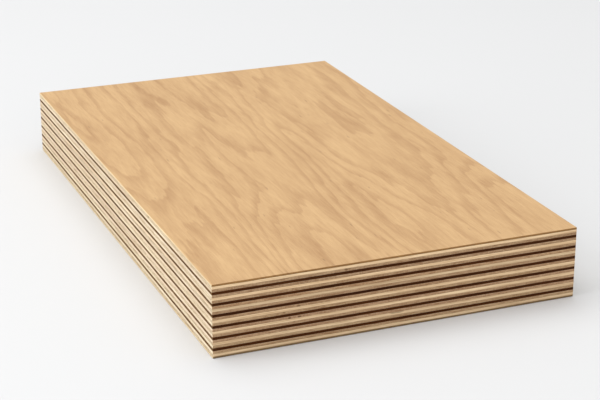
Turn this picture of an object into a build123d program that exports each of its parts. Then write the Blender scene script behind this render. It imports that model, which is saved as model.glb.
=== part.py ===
from build123d import *
import os

# A thick plywood board, sawn square and lying flat. It is a bonded stack: thin three-ply birch
# sheets with one dyed dark veneer pressed between each two of them.
# X runs across the board, Y along it and Z up through the stack, from the centre of the underside.

# Size of the board between its saw cuts
BOARD_LENGTH = 320.0
BOARD_WIDTH = 190.0

# Lay-up, in thicknesses after pressing
SHEETS = 7
LONG_VENEER = 1.4  # grain along the board: the lower and upper ply of each sheet
CORE_VENEER = 1.4  # grain across the board: the middle ply of each sheet
DARK_VENEER = 1.4  # dyed, grain across the board: between two sheets

# What sanding does after the saw
FACE_SANDING = 0.4  # taken off the outermost ply of both broad faces
ARRIS = 0.4  # radius that the sanding block leaves on every edge and corner


def lay_up():
    """Name and pressed thickness of every ply, from the underside up."""
    plies = []
    for sheet in range(1, SHEETS + 1):
        plies.append((f"sheet_{sheet}_lower_ply", LONG_VENEER))
        plies.append((f"sheet_{sheet}_core_ply", CORE_VENEER))
        plies.append((f"sheet_{sheet}_upper_ply", LONG_VENEER))
        if sheet < SHEETS:
            plies.append((f"dark_veneer_{sheet}", DARK_VENEER))
    return plies


def sanded_board(thickness):
    """The whole board after sawing and sanding, before its plies are told apart."""
    with BuildPart() as board:
        Box(BOARD_WIDTH, BOARD_LENGTH, thickness, align=(Align.CENTER, Align.CENTER, Align.MIN))
        fillet(board.edges(), ARRIS)
    return board.part


def plies_of_board():
    """Cuts the sanded board along its glue lines, so that its rounding runs on from ply to ply."""
    plies = lay_up()
    pressed = sum(thickness for _, thickness in plies)
    rest = sanded_board(pressed - 2 * FACE_SANDING)
    glue_line = -FACE_SANDING
    cut = {}
    for name, thickness in plies[:-1]:
        glue_line += thickness
        plane = Plane.XY.offset(glue_line)
        cut[name] = split(rest, bisect_by=plane, keep=Keep.BOTTOM)
        rest = split(rest, bisect_by=plane, keep=Keep.TOP)
    cut[plies[-1][0]] = rest
    return cut


os.makedirs("parts", exist_ok=True)
for name, ply in plies_of_board().items():
    export_step(ply, f"parts/{name}.step")
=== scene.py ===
import math

import bmesh
import bpy
import numpy as np
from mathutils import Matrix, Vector, noise


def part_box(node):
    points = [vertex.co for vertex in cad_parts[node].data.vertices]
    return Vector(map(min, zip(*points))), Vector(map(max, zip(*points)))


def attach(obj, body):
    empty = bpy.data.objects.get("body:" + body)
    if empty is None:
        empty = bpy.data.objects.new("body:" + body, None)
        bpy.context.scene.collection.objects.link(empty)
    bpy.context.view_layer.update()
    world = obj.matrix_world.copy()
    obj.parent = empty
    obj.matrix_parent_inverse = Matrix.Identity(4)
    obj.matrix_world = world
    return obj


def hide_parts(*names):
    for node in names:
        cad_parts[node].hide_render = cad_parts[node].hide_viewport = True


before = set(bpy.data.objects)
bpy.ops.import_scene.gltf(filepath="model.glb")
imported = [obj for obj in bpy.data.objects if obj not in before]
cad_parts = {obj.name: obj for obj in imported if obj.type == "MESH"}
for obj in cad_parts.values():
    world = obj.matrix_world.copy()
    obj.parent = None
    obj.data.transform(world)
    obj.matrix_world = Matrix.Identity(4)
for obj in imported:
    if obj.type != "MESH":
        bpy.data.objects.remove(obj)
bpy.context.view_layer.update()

# The plies with their grain along the board: the lower and upper ply of each of the seven sheets. Each
# is a rotary-cut birch veneer, glued and pressed to 1.4 mm. Its sawn edge, gone over with a sanding
# block, is dark end grain on the short sides of the board and pale long grain on the long sides, where
# the long grain's colour also carries a painted sheen, the whitening of glancing light.

MM = 0.001
CORNER_RADIUS = 0.45  # mm, upright corners of the board
CORNER_STEPS = 5
STATION_SPACING = 1.0  # mm between the points that carry the relief of an edge
EDGE_ROWS = (0.2, 0.4, 0.6, 0.8)  # of the ply's thickness
GLUE_LINE_WIDTH = 0.07  # mm of each ply that dips towards its glue line
GLUE_LINE_DEPTH = 0.06
GLUE_LINE_WANDER = 0.09  # mm that pressing moves a glue line out of flat
GLUE_LINE_WAVE = 24  # mm from one such bend to the next
GLUED_RIM = 1.5  # mm in from the edge, where the glued face is flat again
LONG_GRAIN_RELIEF = 0.018  # mm that sanding digs into long grain
LONG_GRAIN_WAVES = (14.0, 0.3)  # mm along the edge and up it
END_GRAIN_RELIEF = 0.030  # mm of open pores and torn fibres
END_GRAIN_WAVES = (0.9, 0.5)
GLUE_LINE_LAYERS = 3.7  # for each mm of height, so that no two glue lines bend alike
HIDDEN_SHARE = 0.22  # of an inner ply's bake map, for its glued faces
MAP_STRIPS = 16  # that a ply's edge is folded into on its bake map
MAP_GAP = 0.004  # of the map's width, between its parts
ply_names = sorted(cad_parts, key=lambda node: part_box(node)[0].z)


def stations_round(half_x, half_y, spacing):
    """Stations anticlockwise round the board from its front left corner: place and outward direction."""
    places, directions = [], []
    for side in range(4):
        turn = math.radians(90 * side - 90)
        out = np.array([math.cos(turn), math.sin(turn)])
        along = np.array([-out[1], out[0]])
        reach, half = (half_y, half_x) if side % 2 == 0 else (half_x, half_y)
        straight = half - CORNER_RADIUS
        steps = round(2 * straight / spacing)
        for step in range(steps):
            places.append(out * reach + along * (2 * step / steps - 1) * straight)
            directions.append(out)
        for step in range(CORNER_STEPS):
            bend = turn + math.radians(90 * step / CORNER_STEPS)
            facing = np.array([math.cos(bend), math.sin(bend)])
            places.append(out * (reach - CORNER_RADIUS) + along * straight + CORNER_RADIUS * facing)
            directions.append(facing)
    return list(zip(places, directions))


def unevenness(along, up, lengths, layer):
    """Noise from -1 to 1 with waves of two lengths in mm. Another layer has other waves."""
    return noise.noise(Vector((along / lengths[0], up / lengths[1], layer)))


def glue_line(height, place):
    """Height in mm at which a glue line comes out of the board's edge."""
    wave = unevenness(*place, (GLUE_LINE_WAVE, GLUE_LINE_WAVE), layer=GLUE_LINE_LAYERS * height)
    return height + GLUE_LINE_WANDER * wave


def relief(place, direction, height, grain):
    """Depth in mm that the sanding block has left in an edge, by the way that the fibres run."""
    end_grain = abs(direction[0] if grain == "x" else direction[1])
    along = place[1] * abs(direction[0]) + place[0] * abs(direction[1])
    pores = unevenness(along, height, END_GRAIN_WAVES, layer=2.0)
    streaks = unevenness(along, height, LONG_GRAIN_WAVES, layer=9.0)
    open_wood = END_GRAIN_RELIEF * (0.5 + 0.5 * pores)
    close_wood = LONG_GRAIN_RELIEF * (1.0 + 0.5 * streaks)
    return end_grain * open_wood + (1 - end_grain) * close_wood


def sawn_edge(stations, start, end, rows, grain):
    """Rings of points up a ply's edge, from its start height to its end height, as share and inset."""
    rings = []
    for share, inset, sanded in rows:
        ring = []
        for place, direction in stations:
            height = start(place) + share * (end(place) - start(place))
            depth = inset + (relief(place, direction, height, grain) if sanded else 0.0)
            ring.append((*(place - direction * depth), height))
        rings.append(ring)
    return rings


def glued_rim(stations, height, half_x, half_y):
    """The level ring where a glued face is flat again: the board's outline, drawn in by the rim."""
    drawn_in = np.array([1 - GLUED_RIM / half_x, 1 - GLUED_RIM / half_y])
    return [(*(place * drawn_in), height) for place, _ in stations]


class PlyMesh:
    """The mesh of one ply as it is put together: its points, faces, bake map and glued points."""

    def __init__(self, node, face_share, hidden_share):
        self.node = node
        low, high = (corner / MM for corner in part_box(node))
        self.low, self.high = low.z, high.z
        self.half_x, self.half_y = high.x, high.y
        self.face_share, self.hidden_share = face_share, hidden_share
        self.points, self.faces, self.map, self.smooth, self.glued = [], [], [], [], []

    def add_rings(self, rings, glued):
        """Adds rings of points, and says of each whether glue touches it."""
        self.stations = len(rings[0])
        for ring, touched in zip(rings, glued):
            self.points += ring
            self.glued += [touched] * len(ring)

    def ring(self, number):
        """The points of one ring."""
        return range(number * self.stations, (number + 1) * self.stations)

    def add_face(self, face, places, flip=False, smooth=True):
        """Adds one face with its places on the map, turned over where the ply is built downwards."""
        self.faces.append(face[::-1] if flip else face)
        self.map += places[::-1] if flip else places
        self.smooth.append(smooth)

    def add_bands(self, last, flip=False):
        """Faces between the rings of the edge up to the last, folded into strips on the map."""
        per_strip = math.ceil(self.stations / MAP_STRIPS)
        strip = (1 - self.face_share - self.hidden_share) / MAP_STRIPS
        column = [self.points[self.ring(number)[0]] for number in range(last + 1)]
        reach = np.cumsum([0.0] + [math.dist(a, b) for a, b in zip(column, column[1:])])
        reach = reach / reach[-1] * (strip - 2 * MAP_GAP)
        for number in range(last):
            below, above = self.ring(number), self.ring(number + 1)
            for station in range(self.stations):
                fold, place = divmod(station, per_strip)
                after = (station + 1) % self.stations
                left, right = place / per_strip, (place + 1) / per_strip
                foot = self.face_share + fold * strip + MAP_GAP
                lower, upper = foot + reach[number], foot + reach[number + 1]
                face = [below[station], below[after], above[after], above[station]]
                self.add_face(face, [(left, lower), (right, lower), (right, upper), (left, upper)], flip)

    def add_glued_face(self, edge, rim, side, flip):
        """A glued face, from its edge over its rim to its middle, small on the map as nothing shows it."""
        middle = len(self.points)
        self.points.append((0.0, 0.0, self.points[rim[0]][2]))
        self.glued.append(1.0)
        for station in range(self.stations):
            after = (station + 1) % self.stations
            for face in ([edge[station], edge[after], rim[after], rim[station]],
                         [rim[station], rim[after], middle]):
                self.add_face(face, [self.hidden_place(point, side) for point in face], flip, smooth=False)

    def hidden_place(self, point, side):
        """Where a point of a glued face lies at the top of the map."""
        x, y, _ = self.points[point]
        across = (0.5 + 0.5 * x / self.half_x) * (self.hidden_share - 2 * MAP_GAP)
        along = (0.5 + 0.5 * y / self.half_y) * (0.5 - 2 * MAP_GAP)
        return 0.5 * side + MAP_GAP + along, 1 - self.hidden_share + MAP_GAP + across

    def piece(self):
        """The finished object, riding in the place of its ply."""
        mesh = bpy.data.meshes.new("sanded_" + self.node)
        mesh.from_pydata([[value * MM for value in point] for point in self.points], [], self.faces)
        bake_map = mesh.uv_layers.new(name="OFBake")
        bake_map.uv.foreach_set("vector", np.array(self.map, np.float32).ravel())
        mesh.polygons.foreach_set("use_smooth", self.smooth)
        glued = mesh.attributes.new("glued", "FLOAT", "POINT")
        glued.data.foreach_set("value", self.glued)
        mesh.update()
        made = bpy.data.objects.new("sanded_" + self.node, mesh)
        bpy.context.scene.collection.objects.link(made)
        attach(made, "root")
        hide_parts(self.node)
        return made


def inner_ply(node, grain):
    """A ply with glue on both faces, its sawn edge eased towards both glue lines."""
    ply = PlyMesh(node, face_share=0.0, hidden_share=HIDDEN_SHARE)
    stations = stations_round(ply.half_x, ply.half_y, STATION_SPACING)
    ease = GLUE_LINE_WIDTH / (ply.high - ply.low)
    rows = [(0.0, GLUE_LINE_DEPTH, False), (ease, 0.0, True)]
    rows += [(share, 0.0, True) for share in EDGE_ROWS]
    rows += [(1 - ease, 0.0, True), (1.0, GLUE_LINE_DEPTH, False)]
    rings = sawn_edge(stations, lambda place: glue_line(ply.low, place),
                      lambda place: glue_line(ply.high, place), rows, grain)
    rings += [glued_rim(stations, height, ply.half_x, ply.half_y) for height in (ply.low, ply.high)]
    ply.add_rings(rings, [1.0] + [0.0] * (len(rows) - 2) + [1.0, 1.0, 1.0])
    last = len(rows) - 1
    ply.add_bands(last)
    ply.add_glued_face(ply.ring(0), ply.ring(last + 1), side=0, flip=True)
    ply.add_glued_face(ply.ring(last), ply.ring(last + 2), side=1, flip=False)
    return ply.piece()


class Wire:
    """A socket of a finish, so that maths on what varies over the wood reads as plain maths."""

    def __init__(self, finish, socket):
        self.finish = finish
        self.socket = socket

    def maths(self, operation, first, second):
        """Adds a Math node."""
        return self.finish.node("ShaderNodeMath", {"operation": operation}, {0: first, 1: second})

    def __add__(self, other):
        return self.maths("ADD", self, other)

    def __sub__(self, other):
        return self.maths("SUBTRACT", self, other)

    def __rsub__(self, other):
        return self.maths("SUBTRACT", other, self)

    def __mul__(self, other):
        return self.maths("MULTIPLY", self, other)

    def __truediv__(self, other):
        return self.maths("DIVIDE", self, other)

    def __mod__(self, other):
        return self.maths("FLOORED_MODULO", self, other)

    __radd__ = __add__
    __rmul__ = __mul__


class Finish:
    """A finish that is built up node by node on one Principled shader."""

    def __init__(self, name, **constants):
        self.material = bpy.data.materials.new(name)
        self.material.use_nodes = True
        self.tree = self.material.node_tree
        self.shader = self.tree.nodes["Principled BSDF"]
        for socket, value in constants.items():
            self.shade(socket.replace("_", " "), value)

    def node(self, kind, settings=None, sockets=None, output=0):
        """Adds a node: its settings first, then its sockets by name or place, each a number or a link."""
        made = self.tree.nodes.new(kind)
        for name, value in (settings or {}).items():
            setattr(made, name, value)
        for name, value in (sockets or {}).items():
            self.feed(made.inputs[name], value)
        return Wire(self, made.outputs[output])

    def feed(self, socket, value):
        """Links a wire to a socket, or sets the socket to a number, a colour or a vector."""
        if isinstance(value, Wire):
            self.tree.links.new(value.socket, socket)
        elif socket.type == "RGBA":
            socket.default_value = (*value, 1.0)
        else:
            socket.default_value = value

    def shade(self, socket, value):
        """Feeds a socket of the shader itself."""
        self.feed(self.shader.inputs[socket], value)

    def axes(self, vector):
        """The three numbers of a vector."""
        split = self.node("ShaderNodeSeparateXYZ", {}, {0: vector}).socket.node
        return [Wire(self, socket) for socket in split.outputs]

    def size_of(self, value):
        """A number without its sign."""
        return self.node("ShaderNodeMath", {"operation": "ABSOLUTE"}, {0: value})

    def mixed(self, share, first, second):
        """A colour between two others."""
        return self.node("ShaderNodeMix", {"data_type": "RGBA"}, {0: share, 6: first, 7: second}, output=2)

    def waves(self, place, lengths, detail=2.0, roughness=0.5):
        """Noise from 0 to 1 whose waves have the given lengths along the axes of the place."""
        scale = tuple(1 / length for length in lengths)
        scaled = self.node("ShaderNodeVectorMath", {"operation": "MULTIPLY"}, {0: place, 1: scale})
        sockets = {"Vector": scaled, "Scale": 1.0, "Detail": detail, "Roughness": roughness}
        return self.node("ShaderNodeTexNoise", {}, sockets)

    def step(self, value, start, end):
        """0 before start, 1 after end and a soft step between."""
        sockets = {"Value": value, "From Min": start, "From Max": end}
        return self.node("ShaderNodeMapRange", {"interpolation_type": "SMOOTHSTEP"}, sockets)


# How long the unevenness of birch is, in mm across the grain, along it and through the ply
RING_SLANT = (42, 280, 50)
RING_JAG = (3.2, 30, 4)
DRIFT = (24, 90, 9)
STREAKS = (5.0, 42, 0.45)
MOTTLE = (1.2, 16, 0.45)
FIBRES = (0.34, 9, 0.30)
PORES = (0.13, 2.6, 0.13)
RAYS = (0.17, 4, 1.6)
FLECKS = (0.9, 9, 0.45)

# How much each of them darkens long grain and end grain, and the level that they start from
LONG_GRAIN = {"streaks": 1.0, "drift": 0.7, "mottle": 0.6, "fibres": 0.9, "pores": 0.22}
LONG_LEVEL = -1.6
END_GRAIN = {"streaks": 1.5, "drift": 0.6, "mottle": 0.75, "fibres": 0.8, "rays": 1.0, "pores": 0.35,
             "checks": 0.4}
END_LEVEL = -2.275
MEAN_DEPTH = 0.40  # between the palest wood, 0, and the darkest, 1
DARK_FACTORS = (0.60, 0.50, 0.42)  # of the palest wood, in the darkest
END_DARK_FACTORS = (0.94, 0.92, 0.90)  # how much darker end grain gets than long grain

# Growth rings, cut at a shallow slant because the knife follows them round the log
RING_WIDTH = 1.7  # mm of growth in a year
RING_RUN = 24  # mm across the ply from ring to ring
RING_SWING = 11.0  # years that the slant of the log adds to the run at most
RING_TEETH = 0.8  # years by which a ring's edge is jagged
LATE_WOOD = (0.40, 0.92)  # of a year, from where its wood darkens to where it is darkest
RING_DEPTH = 0.22  # by how much late wood is darker

# Lathe checks, fine cracks that the knife opens on the loose side of the veneer
CHECK_SPACING = 1.7  # mm
CHECK_LEAN = 0.9  # spacings from the lower face to the upper
CHECK_WANDER = 1.5  # spacings by which the streaks move them at most
CHECK_WIDTH = 0.03
CHECK_ENDS = (0.4, 0.7)  # of the ply's thickness, between which they close

# Pores, flecks and glue
OPEN_PORES = (0.60, 0.72)  # of their noise, from solid wood to a pore
SMALL_FLECKS = (0.80, 0.90)
SMALL_FLECK_STRENGTH = 0.5
SHOWN_FLECKS = (0.5, 1.9)  # squared distance from a fleck's middle, in half lengths and half widths
RAGGEDNESS = 3.5  # of the edge of such a fleck
FLECK_FACTORS = (0.36, 0.29, 0.22)  # of the end grain's colour
GLUE = (0.20, 0.11, 0.06)
GLUE_SHARE = 0.8  # of a glue line that the glue's colour covers
LOG_SHIFTS = ((37.3, 211), (71.9, 397))  # mm from ply to ply, and where they start again

# How squarely a surface has to face one way to begin to count as end grain, one side or a broad face,
# and to count as it in full
FACES_ENDS = (0.35, 0.8)
FACES_SIDE = (0.4, 0.8)
FACES_BROAD = (0.4, 0.95)

# How sanded birch shines, and how deep its fine relief looks
SPECULAR = 0.25
ROUGHNESS = 0.52
END_ROUGHNESS = 0.14  # more than long grain
FIBRE_ROUGHNESS = 0.2
PORE_ROUGHNESS = 0.08
FIBRE_HEIGHT = 0.8
PORE_DEPTH = 0.5
CHECK_DEPTH = 0.9
BUMP_STRENGTH = 0.4
BUMP_DISTANCE = 0.05  # mm

# Brown flecks that the photo shows in the sawn edges: the ply, the side of the board, the place along
# that side from its middle, the height from the middle of the ply, length and width in mm, and strength.
flecks_shown = [
    ("sheet_3_upper_ply", "front", -57.0, -0.18, 1.4, 1.0, 1.1),
    ("sheet_3_upper_ply", "front", -52.0, -0.20, 1.7, 0.8, 1.1),
    ("sheet_4_lower_ply", "front", -59.7, 0.24, 1.2, 0.8, 0.6),
    ("sheet_3_lower_ply", "front", -54.7, 0.35, 1.2, 0.7, 0.6),
    ("sheet_4_upper_ply", "front", -52.5, -0.17, 1.7, 0.8, 0.8),
    ("sheet_7_lower_ply", "front", -28.5, 0.17, 1.4, 1.1, 1.1),
    ("sheet_7_lower_ply", "front", -27.0, 0.45, 1.0, 0.6, 0.7),
    ("sheet_2_core_ply", "front", -2.0, 0.45, 6.5, 0.9, 0.6),
    ("sheet_7_core_ply", "left", -64.0, 0.20, 2.0, 0.9, 0.9),
]


def toned(colour, factors):
    """A colour with each of its parts multiplied."""
    return tuple(part * factor for part, factor in zip(colour, factors))


class Birch(Finish):
    """Birch as a solid, so that every side of a ply shows the same wood, cut another way."""

    def __init__(self, ply, grain):
        super().__init__("birch_" + ply, Specular_IOR_Level=SPECULAR)
        self.ply = ply
        self.low, self.high = (corner.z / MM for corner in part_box(ply))
        place = self.axes(self.node("ShaderNodeTexCoord", output="Object"))
        self.x, self.y, self.z = (axis / MM for axis in place)
        self.normal = self.axes(self.node("ShaderNodeTexCoord", output="Normal"))
        fibre_axis = 1 if grain == "y" else 0
        self.end_grain = self.step(self.size_of(self.normal[fibre_axis]), *FACES_ENDS)
        sides = (self.x, self.y) if grain == "y" else (self.y, self.x)
        number = ply_names.index(ply)
        self.across, along = (
            side + shift * number % span for side, (shift, span) in zip(sides, LOG_SHIFTS)
        )
        self.place = self.node("ShaderNodeCombineXYZ", {}, {0: self.across, 1: along, 2: self.z})

    def uneven(self, lengths, detail=2.0, roughness=0.5):
        """Noise from 0 to 1 in the wood, from its lengths in mm."""
        return self.waves(self.place, lengths, detail, roughness)

    def late_wood(self):
        """1 in the dark late wood of each growth ring. The rings lie almost parallel to the ply."""
        slant = self.uneven(RING_SLANT, roughness=0.4)
        jag = self.uneven(RING_JAG)
        years = self.z / RING_WIDTH + self.across / RING_RUN + RING_SWING * slant + RING_TEETH * jag
        season = years % 1.0
        starts, darkest = LATE_WOOD
        return self.step(season, starts, darkest) * (1 - self.step(season, darkest, 1.0))

    def lathe_checks(self, streaks):
        """Fine cracks in end grain, which lean in from the loose side of the veneer."""
        rise = (self.z - self.low) / (self.high - self.low)
        run = self.across / CHECK_SPACING + CHECK_LEAN * rise + CHECK_WANDER * streaks
        off = self.node("ShaderNodeMath", {"operation": "PINGPONG"}, {0: run, 1: 0.5})
        return (1 - self.step(off, 0.0, CHECK_WIDTH)) * (1 - self.step(rise, *CHECK_ENDS)) * self.end_grain

    def flecks(self, fibres, rays):
        """Small brown flecks all over the wood, and larger ones where the photo shows them."""
        flecks = SMALL_FLECK_STRENGTH * self.step(self.uneven(FLECKS, detail=0.0), *SMALL_FLECKS)
        middle = (self.low + self.high) / 2
        for ply, side, spot, height, length, width, strength in flecks_shown:
            if ply == self.ply:
                run, inwards = (self.x, self.normal[1]) if side == "front" else (self.y, self.normal[0])
                off_along = (run - spot) / (length / 2)
                off_through = (self.z - middle - height) / (width / 2)
                off = off_along * off_along + off_through * off_through
                ragged = off + RAGGEDNESS * (fibres + rays - 1.0)
                on_this_side = self.step(0 - inwards, *FACES_SIDE)
                flecks = flecks + strength * (1 - self.step(ragged, *SHOWN_FLECKS)) * on_this_side
        return flecks


def veneer(ply, grain, long_colour, end_colour, dark_factors=DARK_FACTORS, contrast=1.0,
           ring_depth=RING_DEPTH, aged=None):
    """The finish of a ply, from the colour of its palest wood in long grain and in end grain."""
    birch = Birch(ply, grain)
    wood = {
        "streaks": birch.uneven(STREAKS),
        "drift": birch.uneven(DRIFT, detail=1.0),
        "mottle": birch.uneven(MOTTLE, detail=1.0),
        "fibres": birch.uneven(FIBRES, detail=3.0, roughness=0.6),
        "pores": birch.step(birch.uneven(PORES, detail=1.0), *OPEN_PORES),
        "rays": birch.uneven(RAYS, detail=1.0),
    }
    wood["checks"] = birch.lathe_checks(wood["streaks"])
    long_depth, end_depth = (
        sum((share * wood[part] for part, share in shares.items()), level)
        for shares, level in ((LONG_GRAIN, LONG_LEVEL), (END_GRAIN, END_LEVEL))
    )
    depths = {0: birch.end_grain, 2: long_depth, 3: end_depth}
    uneven_depth = birch.node("ShaderNodeMix", {"data_type": "FLOAT"}, depths)
    depth = MEAN_DEPTH + contrast * uneven_depth + ring_depth * birch.late_wood()

    # The colours given for the long sides of the board carry a painted sheen, which this mix lays on those
    # sides.
    pale = birch.mixed(birch.end_grain, long_colour, end_colour)
    end_dark = toned(toned(end_colour, dark_factors), END_DARK_FACTORS)
    dark = birch.mixed(birch.end_grain, toned(long_colour, dark_factors), end_dark)
    flecks = birch.flecks(wood["fibres"], wood["rays"])
    colour = birch.mixed(flecks, birch.mixed(depth, pale, dark), toned(end_colour, FLECK_FACTORS))
    if aged:
        broad = birch.step(birch.size_of(birch.normal[2]), *FACES_BROAD)
        aged_wood = birch.node("ShaderNodeVectorMath", {"operation": "MULTIPLY"}, {0: colour, 1: aged})
        colour = birch.mixed(broad, colour, aged_wood)
    glued = birch.node("ShaderNodeAttribute", {"attribute_name": "glued"}, output=2)
    birch.shade("Base Color", birch.mixed(glued * GLUE_SHARE, colour, GLUE))

    fuzz = FIBRE_ROUGHNESS * (wood["fibres"] - 0.5) + PORE_ROUGHNESS * wood["pores"]
    birch.shade("Roughness", ROUGHNESS + END_ROUGHNESS * birch.end_grain + fuzz)
    height = FIBRE_HEIGHT * wood["fibres"] - PORE_DEPTH * wood["pores"] - CHECK_DEPTH * wood["checks"]
    bump = {"Height": height, "Strength": BUMP_STRENGTH, "Distance": BUMP_DISTANCE * MM}
    birch.shade("Normal", birch.node("ShaderNodeBump", {}, bump))
    return birch


# The long-grain colour below is the birch's own pale tone with a painted sheen in it: the whitening of
# glancing light on the long sides.
BIRCH_LONG_WITH_SHEEN = (0.86, 0.735, 0.535)
BIRCH_END = (0.460, 0.306, 0.174)
BIRCH_CONTRAST = 1.15
LOG_TINT = 0.10  # by how much two logs may differ in each part of their colour


def log_tint(number):
    """Factors that tell the wood of one log from the next, from places in the noise that lie apart."""
    return [1 + LOG_TINT * noise.noise(Vector((1.7 * number + 0.4, 0.35 * part, 0.2))) for part in range(3)]


for number, node in enumerate(ply_names[1:-1]):
    if node.endswith(("lower_ply", "upper_ply")):
        ply = inner_ply(node, "y")
        log = log_tint(number)
        finish = veneer(node, "y", toned(BIRCH_LONG_WITH_SHEEN, log), toned(BIRCH_END, log), contrast=BIRCH_CONTRAST)
        ply.data.materials.append(finish.material)

# The core ply of each sheet: the same birch turned square to its neighbours, so it shows long grain
# on the short sides of the board and end grain on the long sides. The logs differ in tone.

CORE_LONG = (0.815, 0.615, 0.380)
# The end-grain colour below, which shows on the long sides, is paler than the wood alone: a painted sheen
# from glancing light is in it.
CORE_END_WITH_SHEEN = (0.690, 0.580, 0.400)
CORE_TONES = (0.90, 0.93, 0.99, 1.02, 0.85, 1.08, 1.08)  # from the lowest sheet up
CORE_CONTRAST = 1.25

for tone, node in zip(CORE_TONES, [node for node in ply_names if node.endswith("core_ply")]):
    ply = inner_ply(node, "x")
    long_colour, end_colour = toned(CORE_LONG, [tone] * 3), toned(CORE_END_WITH_SHEEN, [math.sqrt(tone)] * 3)
    finish = veneer(node, "x", long_colour, end_colour, contrast=CORE_CONTRAST)
    ply.data.materials.append(finish.material)

# The dark veneers between the sheets: birch dyed brown right through before it was pressed, its grain
# across the board. The dye is almost black on long grain. The lighter brown given to the end grain on the
# long sides is mostly a painted sheen, the whitening of glancing light, over the dye's own dark tone.

DYED_LONG = (0.066, 0.019, 0.003)
# The end-grain colour below is mostly a painted sheen over the dark dyed wood.
DYED_END_WITH_SHEEN = (0.200, 0.112, 0.045)
DYED_DARK = (0.42, 0.34, 0.30)  # factors of the colours above
DYED_CONTRAST = 1.5
DYED_SPECULAR = 0.05

for node in ply_names:
    if node.startswith("dark_veneer"):
        ply = inner_ply(node, "x")
        finish = veneer(node, "x", DYED_LONG, DYED_END_WITH_SHEEN, DYED_DARK, contrast=DYED_CONTRAST)
        finish.shade("Specular IOR Level", DYED_SPECULAR)
        ply.data.materials.append(finish.material)

# The two face veneers, sanded from 1.4 mm down to 1 mm, which make the broad faces of the board. Their
# arris is rounded by the sanding block, and their broad face shows the figure of rotary-cut birch.

ARRIS_RADIUS = 0.4  # mm
ARRIS_STEPS = 5
FACE_SPACING = 2.0  # mm between the points of a broad face and of its edge
FACE_EDGE_ROW = 0.3  # of the ply's thickness, between its glue line and its arris
FACE_RELIEF = 0.03  # mm that the sanded face is out of flat
FACE_WAVES = (9, 26)  # mm across the board and along it
FACE_SHARE = 0.60  # of a face ply's bake map, for its broad face
FACE_HIDDEN_SHARE = 0.12
WELD = 0.002  # mm between points that become one
# The long-grain colour below is pale on the sawn long sides partly because of a painted sheen, as the birch
# long grain is.
FACE_LONG = (0.86, 0.715, 0.440)
FACE_AGED = (0.69, 0.54, 0.42)  # how light has yellowed the broad face, beside its fresh sawn edge, whose paleness is partly a painted sheen
LOWER_FACE_END = (0.215, 0.142, 0.062)
UPPER_FACE_END = (0.33, 0.172, 0.046)
FACE_CONTRAST = 0.6
FACE_RING_DEPTH = 0.28
FACE_SPECULAR = 0.4


def face_ply(node, faces_up):
    """A face veneer: glued face, sawn edge, rounded arris and broad face."""
    ply = PlyMesh(node, FACE_SHARE, FACE_HIDDEN_SHARE)
    glued, broad = (ply.low, ply.high) if faces_up else (ply.high, ply.low)
    thick = ply.high - ply.low
    stations = stations_round(ply.half_x, ply.half_y, FACE_SPACING)
    ease = GLUE_LINE_WIDTH / thick
    rows = [(0.0, GLUE_LINE_DEPTH, False), (ease, 0.0, True), (FACE_EDGE_ROW, 0.0, True)]
    for step in range(ARRIS_STEPS + 1):
        turn = math.radians(90 * step / ARRIS_STEPS)
        inset = ARRIS_RADIUS * (1 - math.cos(turn))
        rows.append((1 - ARRIS_RADIUS * (1 - math.sin(turn)) / thick, inset, step == 0))
    rows.append((1.0, CORNER_RADIUS, False))
    rings = sawn_edge(stations, lambda place: glue_line(glued, place), lambda place: broad, rows, "y")
    rings.append(glued_rim(stations, glued, ply.half_x, ply.half_y))
    ply.add_rings(rings, [1.0] + [0.0] * (len(rows) - 1) + [1.0])
    last = len(rows) - 1
    ply.add_bands(last, flip=not faces_up)
    ply.add_glued_face(ply.ring(0), ply.ring(last + 1), side=0, flip=faces_up)
    add_broad_face(ply, broad, faces_up)
    made = ply.piece()
    weld(made.data)
    return made


def add_broad_face(ply, broad, faces_up):
    """The grid of a broad face, which takes most of the map."""
    first = len(ply.points)
    straight_x, straight_y = ply.half_x - CORNER_RADIUS, ply.half_y - CORNER_RADIUS
    columns, rows = round(2 * straight_x / FACE_SPACING), round(2 * straight_y / FACE_SPACING)
    for row in range(rows + 1):
        for column in range(columns + 1):
            x, y = (2 * column / columns - 1) * straight_x, (2 * row / rows - 1) * straight_y
            inside = 0 < row < rows and 0 < column < columns
            sink = FACE_RELIEF * (0.5 + 0.5 * unevenness(x, y, FACE_WAVES, layer=broad)) if inside else 0.0
            ply.points.append((x, y, broad - sink if faces_up else broad + sink))
            ply.glued.append(0.0)
    for row in range(rows):
        for column in range(columns):
            start = first + row * (columns + 1) + column
            face = [start, start + 1, start + columns + 2, start + columns + 1]
            places = []
            for x, y, _ in (ply.points[point] for point in face):
                across = (0.5 + 0.5 * x / ply.half_x) * (ply.face_share - MAP_GAP)
                places.append((0.5 + 0.5 * y / ply.half_y, across))
            ply.add_face(face, places, flip=not faces_up)


def weld(mesh):
    """Joins the edge of the broad face's grid to the ring of the arris that it lies on."""
    loose = bmesh.new()
    loose.from_mesh(mesh)
    bmesh.ops.remove_doubles(loose, verts=loose.verts, dist=WELD * MM)
    loose.to_mesh(mesh)
    loose.free()


for place, end_colour in ((0, LOWER_FACE_END), (-1, UPPER_FACE_END)):
    node = ply_names[place]
    ply = face_ply(node, faces_up=place == -1)
    finish = veneer(node, "y", FACE_LONG, end_colour, contrast=FACE_CONTRAST,
                    ring_depth=FACE_RING_DEPTH, aged=FACE_AGED)
    finish.shade("Specular IOR Level", FACE_SPECULAR)
    ply.data.materials.append(finish.material)

# The white paper that the board lies on. It is no part of the board.

FLOOR_SIZE = 8.0  # m
PAPER_TONES = ((0.592, 0.595, 0.599), (0.604, 0.607, 0.610))
PAPER_CLOUD = 0.4  # m from one tone to the other

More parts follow.
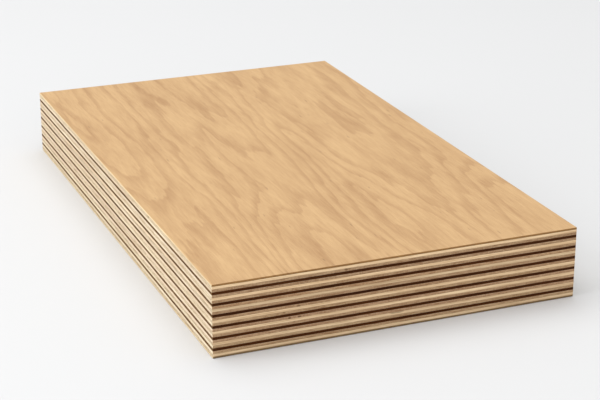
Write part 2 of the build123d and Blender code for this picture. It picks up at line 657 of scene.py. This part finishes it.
bpy.ops.mesh.primitive_plane_add(size=FLOOR_SIZE)
floor = bpy.context.object
floor.name = "white_floor"
paper = Finish("white_paper", Roughness=0.8, Specular_IOR_Level=0.2)
cloud = paper.waves(paper.node("ShaderNodeTexCoord", output="Object"), [PAPER_CLOUD] * 3)
paper.shade("Base Color", paper.mixed(cloud, *PAPER_TONES))
floor.data.materials.append(paper.material)

# Soft studio light: a wide softbox overhead, one on the left for the long side, a weaker one in front,
# and pale surroundings.

SURROUNDINGS = 0.60  # strength of the light from all round


def softbox(name, place, aim, width, height, watts):
    """A rectangular area light that points at a place."""
    light = bpy.data.lights.new(name, "AREA")
    light.shape = "RECTANGLE"
    light.size = width
    light.size_y = height
    light.energy = watts
    lamp = bpy.data.objects.new(name, light)
    lamp.location = place
    lamp.rotation_euler = (Vector(aim) - Vector(place)).to_track_quat("-Z", "Y").to_euler()
    bpy.context.scene.collection.objects.link(lamp)


softbox("overhead_softbox", (-0.3, 0.4, 2.4), (0, 0.1, 0), width=3.0, height=3.0, watts=60.0)
softbox("left_softbox", (-1.8, 0.0, 0.9), (0, 0, 0.02), width=1.2, height=1.6, watts=19.5)
softbox("front_softbox", (-0.5, -2.4, 0.8), (0, 0, 0.02), width=2.0, height=1.2, watts=17.0)

world = bpy.data.worlds.new("pale_studio")
world.use_nodes = True
background = world.node_tree.nodes["Background"]
background.inputs["Color"].default_value = (1.0, 1.0, 1.0, 1.0)
background.inputs["Strength"].default_value = SURROUNDINGS
bpy.context.scene.world = world

# The camera keeps the lens and the downward tilt worked out from the photo, and about its distance. It
# stands at the front left, so that both kinds of sawn edge and the broad face show.

IMAGE_WIDTH = 600
FOCAL_PIXELS = 1718
SENSOR = 36.0  # mm
CAMERA_AZIMUTH = math.radians(-22.0)
CAMERA_TILT = math.radians(20.6)
CAMERA_DISTANCE = 0.95  # m
AIM = Vector((0.008, -0.012, 0.012))

lens = bpy.data.cameras.new("camera")
lens.sensor_width = SENSOR
lens.lens = SENSOR * FOCAL_PIXELS / IMAGE_WIDTH
lens.dof.use_dof = False
camera = bpy.data.objects.new("camera", lens)
bpy.context.scene.collection.objects.link(camera)
away = Vector((
    math.sin(CAMERA_AZIMUTH) * math.cos(CAMERA_TILT),
    -math.cos(CAMERA_AZIMUTH) * math.cos(CAMERA_TILT),
    math.sin(CAMERA_TILT),
))
camera.location = AIM + CAMERA_DISTANCE * away
camera.rotation_euler = (-away).to_track_quat("-Z", "Y").to_euler()
bpy.context.scene.camera = camera
bpy.context.scene.view_settings.view_transform = "Standard"
